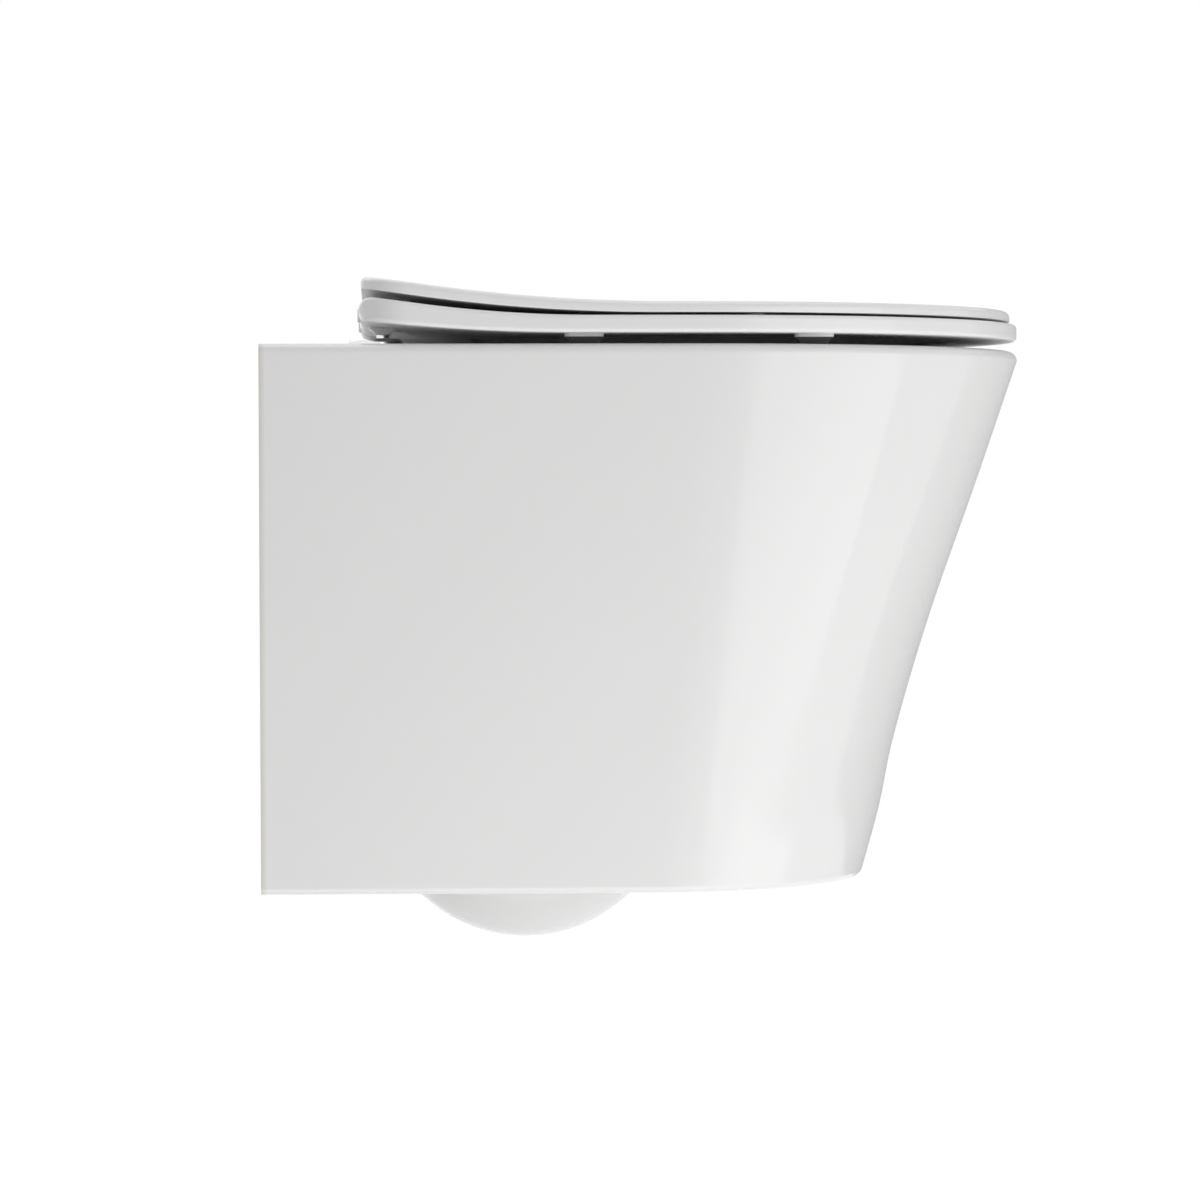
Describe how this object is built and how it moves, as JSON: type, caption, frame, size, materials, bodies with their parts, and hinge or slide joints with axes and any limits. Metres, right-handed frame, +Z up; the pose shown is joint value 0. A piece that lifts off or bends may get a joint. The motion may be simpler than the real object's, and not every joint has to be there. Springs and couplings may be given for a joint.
{
  "type": "wall hung toilet",
  "caption": "White wall hung toilet: a ceramic pan with a trap, rear flush inlet and drain spigot, under a slim soft closing seat and lid that lift off their posts.",
  "frame": {"origin": "on the wall's face, midway between the two wall fixing rods", "axes": "+X out from the wall to the front of the bowl, +Y along the wall, +Z up"},
  "size_m": [0.479, 0.36, 0.4126],
  "materials": {
    "glaze": "glossy white glaze",
    "seat_resin": "polished white thermoset",
    "chrome": "polished",
    "zinc": "bright zinc plate",
    "steel": "stainless",
    "nylon": "natural white, moulded",
    "damper_case": "dark grey, moulded",
    "soft": "soft, pale and matt"
  },
  "bodies": {
    "base": {"pan": "glaze", "rod_sleeves": "nylon", "rod_washers": "zinc", "rod_nuts": "zinc", "post_gaskets": "soft", "hinge_posts": "chrome", "hinge_caps": "chrome", "centring_cones": "nylon", "post_washers": "zinc", "wing_nuts": "nylon"},
    "hinges": {"hinge_body_left": "seat_resin", "hinge_body_right": "seat_resin", "dampers": "damper_case", "pivot_pins": "steel", "latch_clips": "steel"},
    "button_left": {"release_button_left": "nylon"},
    "button_right": {"release_button_right": "nylon"},
    "seat_ring": {"seat": "seat_resin", "seat_buffers": "soft", "seat_rotor": "damper_case"},
    "cover": {"lid": "seat_resin", "lid_buffers": "soft", "lid_rotor": "damper_case"}
  },
  "joints": [
    {"name": "lift_off", "type": "slide", "parent": "base", "child": "hinges", "axis": [0, 0, 1], "range_m": [0, 0.03], "deforming": ["latch_clips"]},
    {"name": "seat_hinge", "type": "hinge", "parent": "hinges", "child": "seat_ring", "pos_m": [0.067, 0, 0.101], "axis": [0, -1, 0], "range_deg": [0, 97]},
    {"name": "lid_hinge", "type": "hinge", "parent": "seat_ring", "child": "cover", "pos_m": [0.067, 0, 0.101], "axis": [0, 1, 0], "range_deg": [-97, 0]},
    {"name": "press_left", "type": "slide", "parent": "hinges", "child": "button_left", "axis": [1, 0, 0], "range_m": [0, 0.0025], "stiffness_N_per_m": 1500, "springref_m": -0.0005, "deforming": ["latch_clips"]},
    {"name": "press_right", "type": "slide", "parent": "hinges", "child": "button_right", "axis": [1, 0, 0], "range_m": [0, 0.0025], "stiffness_N_per_m": 1500, "springref_m": -0.0005, "deforming": ["latch_clips"]}
  ]
}
